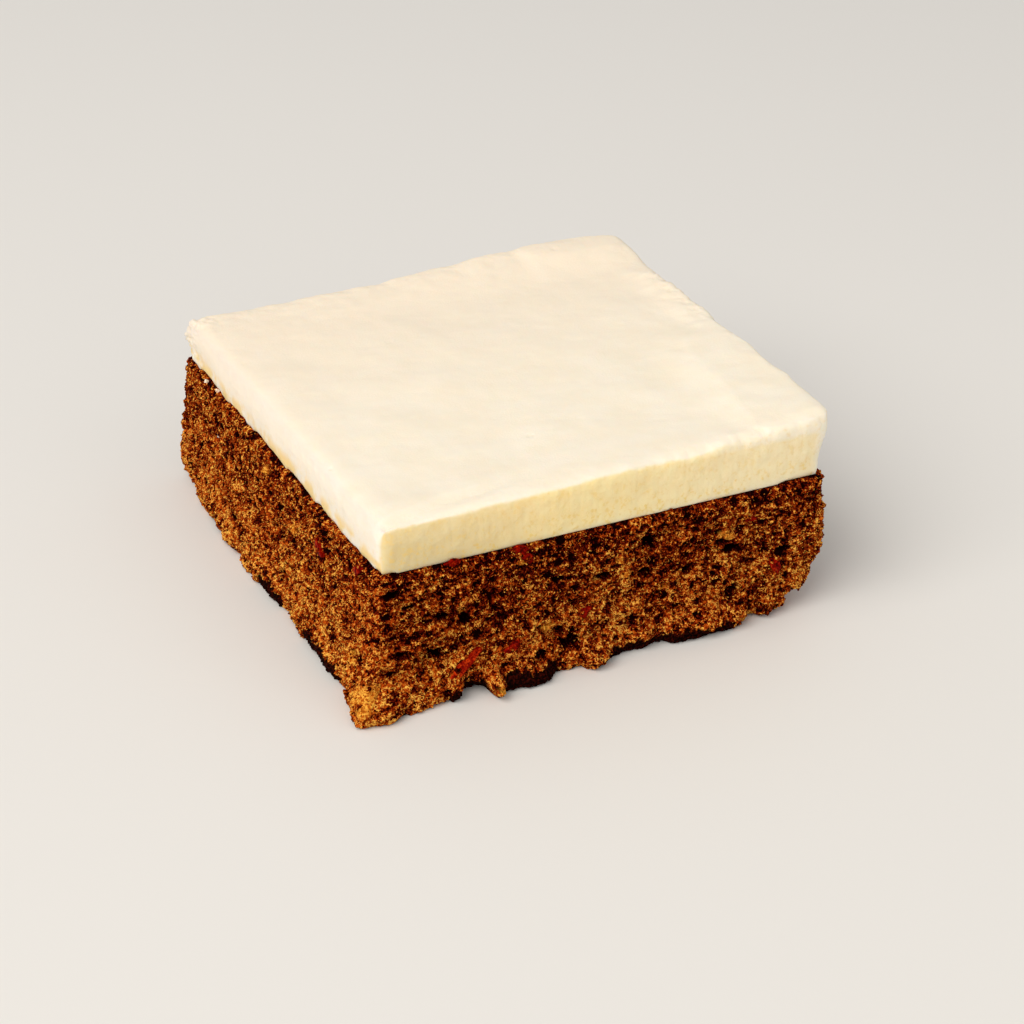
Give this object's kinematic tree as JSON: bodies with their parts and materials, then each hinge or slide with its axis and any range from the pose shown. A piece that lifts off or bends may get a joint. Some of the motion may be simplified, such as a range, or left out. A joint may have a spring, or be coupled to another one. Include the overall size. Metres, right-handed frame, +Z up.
{
  "type": "carrot cake slice",
  "caption": "Square-cut piece of carrot sheet cake: coarse brown sponge with carrot shreds under a thick, spread layer of pale cream-cheese frosting.",
  "frame": {"origin": "on the table under the middle of the sponge", "axes": "+Z up; the front cut face looks along -Y and the left cut face along -X"},
  "size_m": [0.0939, 0.0964, 0.0362],
  "materials": {
    "sponge": "coarse open crumb, orange brown, with darker pores and a dark baked skin underneath",
    "frosting": "smooth spread cream, pale ivory on top and yellower where it was cut"
  },
  "bodies": {
    "root": {"cake": "sponge", "frosting": "frosting"}
  },
  "joints": []
}
